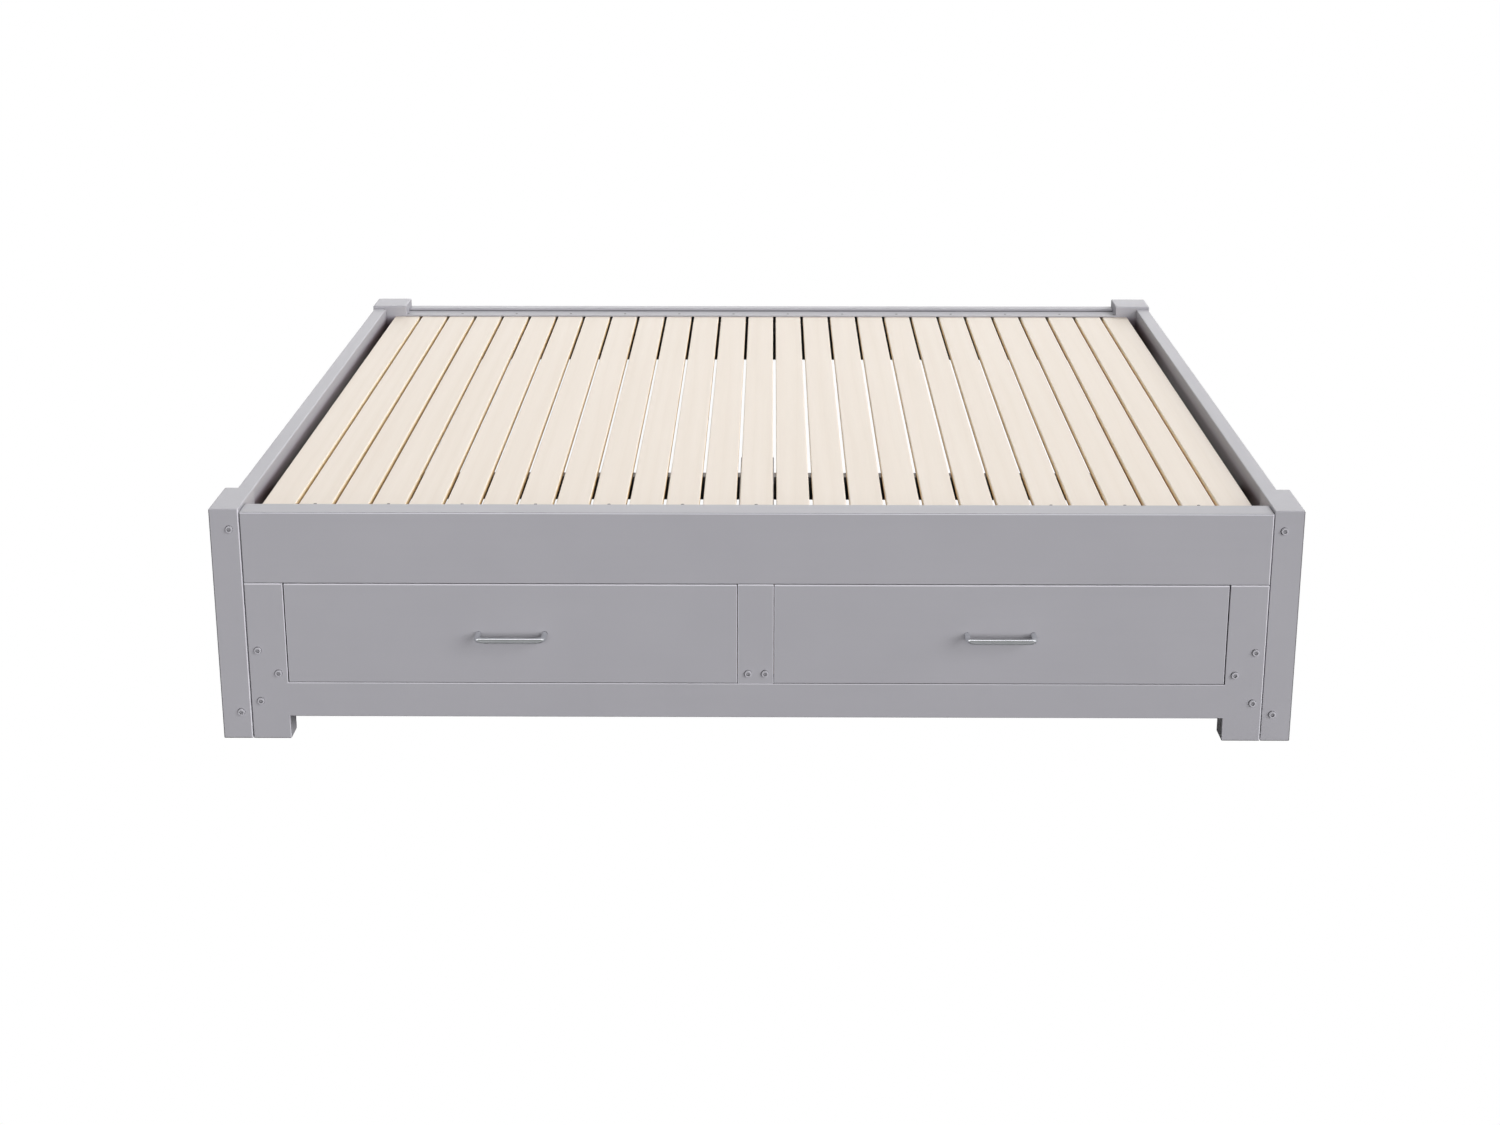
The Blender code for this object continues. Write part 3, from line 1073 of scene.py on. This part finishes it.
floor_mesh = bpy.data.meshes.new("floor")
reach = 9.0
floor_mesh.from_pydata(
    [(-reach, -reach, 0), (reach, -reach, 0), (reach, reach, 0), (-reach, reach, 0)],
    [],
    [(0, 1, 2, 3)],
)
floor = bpy.data.objects.new("floor", floor_mesh)
floor.location.z = -0.0006
SCENE.collection.objects.link(floor)
paper = bpy.data.materials.new("floor_paper")
paper.use_nodes = True
tree = paper.node_tree
tree.nodes.clear()


def matt(tone):
    made = tree.nodes.new("ShaderNodeBsdfDiffuse")
    made.inputs["Color"].default_value = (tone, tone, tone, 1)
    return made.outputs["BSDF"]


def choose(ray, otherwise, chosen):
    made = tree.nodes.new("ShaderNodeMixShader")
    link(tree, path_kind.outputs[ray], made.inputs["Fac"])
    link(tree, otherwise, made.inputs[1])
    link(tree, chosen, made.inputs[2])
    return made.outputs["Shader"]


out = tree.nodes.new("ShaderNodeOutputMaterial")
path_kind = tree.nodes.new("ShaderNodeLightPath")
seen = tree.nodes.new("ShaderNodeEmission")
seen.inputs["Color"].default_value = (1, 1, 1, 1)
seen.inputs["Strength"].default_value = 1.0
# pale to the eye and in the steel, but throwing little light back up
bounced = choose("Is Glossy Ray", matt(0.08), matt(0.50))
link(
    tree,
    choose("Is Camera Ray", bounced, seen.outputs["Emission"]),
    out.inputs["Surface"],
)
floor.data.materials.append(paper)

world = bpy.data.worlds.new("studio")
SCENE.world = world
world.use_nodes = True
tree = world.node_tree
tree.nodes.clear()


def backdrop(name, strength, place, *stops):
    """Light from all round, its tone read from stops by where it comes from."""
    tones = tree.nodes.new("ShaderNodeValToRGB")
    band = tones.color_ramp
    while len(band.elements) < len(stops):
        band.elements.new(0.5)
    for element, (at, tone) in zip(band.elements, stops):
        element.position = at
        element.color = (tone, tone, tone, 1)
    made = tree.nodes.new("ShaderNodeBackground")
    made.name = name
    made.inputs["Strength"].default_value = strength
    link(tree, place, tones.inputs["Fac"])
    link(tree, tones.outputs["Color"], made.inputs["Color"])
    return made.outputs["Background"]


out = tree.nodes.new("ShaderNodeOutputWorld")
seen = tree.nodes.new("ShaderNodeBackground")
seen.inputs["Color"].default_value = (1, 1, 1, 1)
seen.inputs["Strength"].default_value = 1.0
aim = tree.nodes.new("ShaderNodeTexCoord")
split = tree.nodes.new("ShaderNodeSeparateXYZ")
link(tree, aim.outputs["Generated"], split.inputs["Vector"])
# 0 at the horizon in front, a half overhead and 1 at the horizon behind
flip = tree.nodes.new("ShaderNodeMath")
flip.operation = "MULTIPLY"
flip.inputs[1].default_value = -1.0
link(tree, split.outputs["Y"], flip.inputs[0])
arc = tree.nodes.new("ShaderNodeMath")
arc.operation = "ARCTAN2"
link(tree, split.outputs["Z"], arc.inputs[0])
link(tree, flip.outputs["Value"], arc.inputs[1])
share = tree.nodes.new("ShaderNodeMath")
share.operation = "DIVIDE"
share.inputs[1].default_value = math.pi
link(tree, arc.outputs["Value"], share.inputs[0])
ambient = backdrop(
    "ambient", 0.02, split.outputs["Z"], (0.0, 0.30), (1.0, 1.0)
)
mirrored = backdrop(
    "mirrored",
    1.0,
    share.outputs["Value"],
    (0.0, 0.36),
    (0.30, 0.30),
    (0.41, 0.34),
    (0.455, 1.70),
    (0.56, 1.70),
    (0.60, 0.45),
    (0.85, 0.60),
    (1.0, 1.0),
)
path_kind = tree.nodes.new("ShaderNodeLightPath")
gloss = tree.nodes.new("ShaderNodeMixShader")
link(tree, path_kind.outputs["Is Glossy Ray"], gloss.inputs["Fac"])
link(tree, ambient, gloss.inputs[1])
link(tree, mirrored, gloss.inputs[2])
either = tree.nodes.new("ShaderNodeMixShader")
link(tree, path_kind.outputs["Is Camera Ray"], either.inputs["Fac"])
link(tree, gloss.outputs["Shader"], either.inputs[1])
link(tree, seen.outputs["Background"], either.inputs[2])
link(tree, either.outputs["Shader"], out.inputs["Surface"])


# The polished handles mirror the backdrop, and weak panels of their own at the
# sides: the disc of a strong one in them would be a white blot.
matt_things = bpy.data.collections.new("not_in_polished_steel")
for handle in HANDLES:
    matt_things.objects.link(handle)
for entry in matt_things.collection_objects:
    entry.light_linking.link_state = "EXCLUDE"


def distant_light(name, azimuth, elevation, spread, strength, in_gloss=True):
    """A large soft panel far away. Azimuth 0 is in front and 90 to the right,
    spread is how wide the panel looks, and all of them are in degrees;
    in_gloss says whether it shows in reflections. The handles don't get it."""
    around, up = math.radians(azimuth), math.radians(elevation)
    whence = Vector(
        (
            math.cos(up) * math.sin(around),
            -math.cos(up) * math.cos(around),
            math.sin(up),
        )
    )
    data = bpy.data.lights.new(name, "SUN")
    data.angle = math.radians(spread)
    data.energy = strength
    obj = bpy.data.objects.new(name, data)
    obj.visible_glossy = in_gloss
    obj.light_linking.receiver_collection = matt_things
    SCENE.collection.objects.link(obj)
    obj.rotation_euler = whence.to_track_quat("Z", "Y").to_euler()
    obj.location = whence * 6.0
    return obj


distant_light("front", 0, 12, 25, 1.78, in_gloss=False)
distant_light("key", 45, 20, 35, 1.58)
distant_light("right", 90, 20, 35, 0.76)
distant_light("rear_right", 135, 40, 35, 1.69)
distant_light("rear", 180, 20, 35, 0.38)
distant_light("rear_left", 225, 40, 35, 0.59)
distant_light("left", 270, 20, 35, 0.42)

# the side panels' glints in the handles, toned down
polished = bpy.data.collections.new("polished_steel")
for handle in HANDLES:
    polished.objects.link(handle)
for word, azimuth, strength in (("left", 270, 0.10), ("right", 90, 0.12)):
    glint = distant_light(f"{word}_glint", azimuth, 20, 35, strength)
    glint.light_linking.receiver_collection = polished
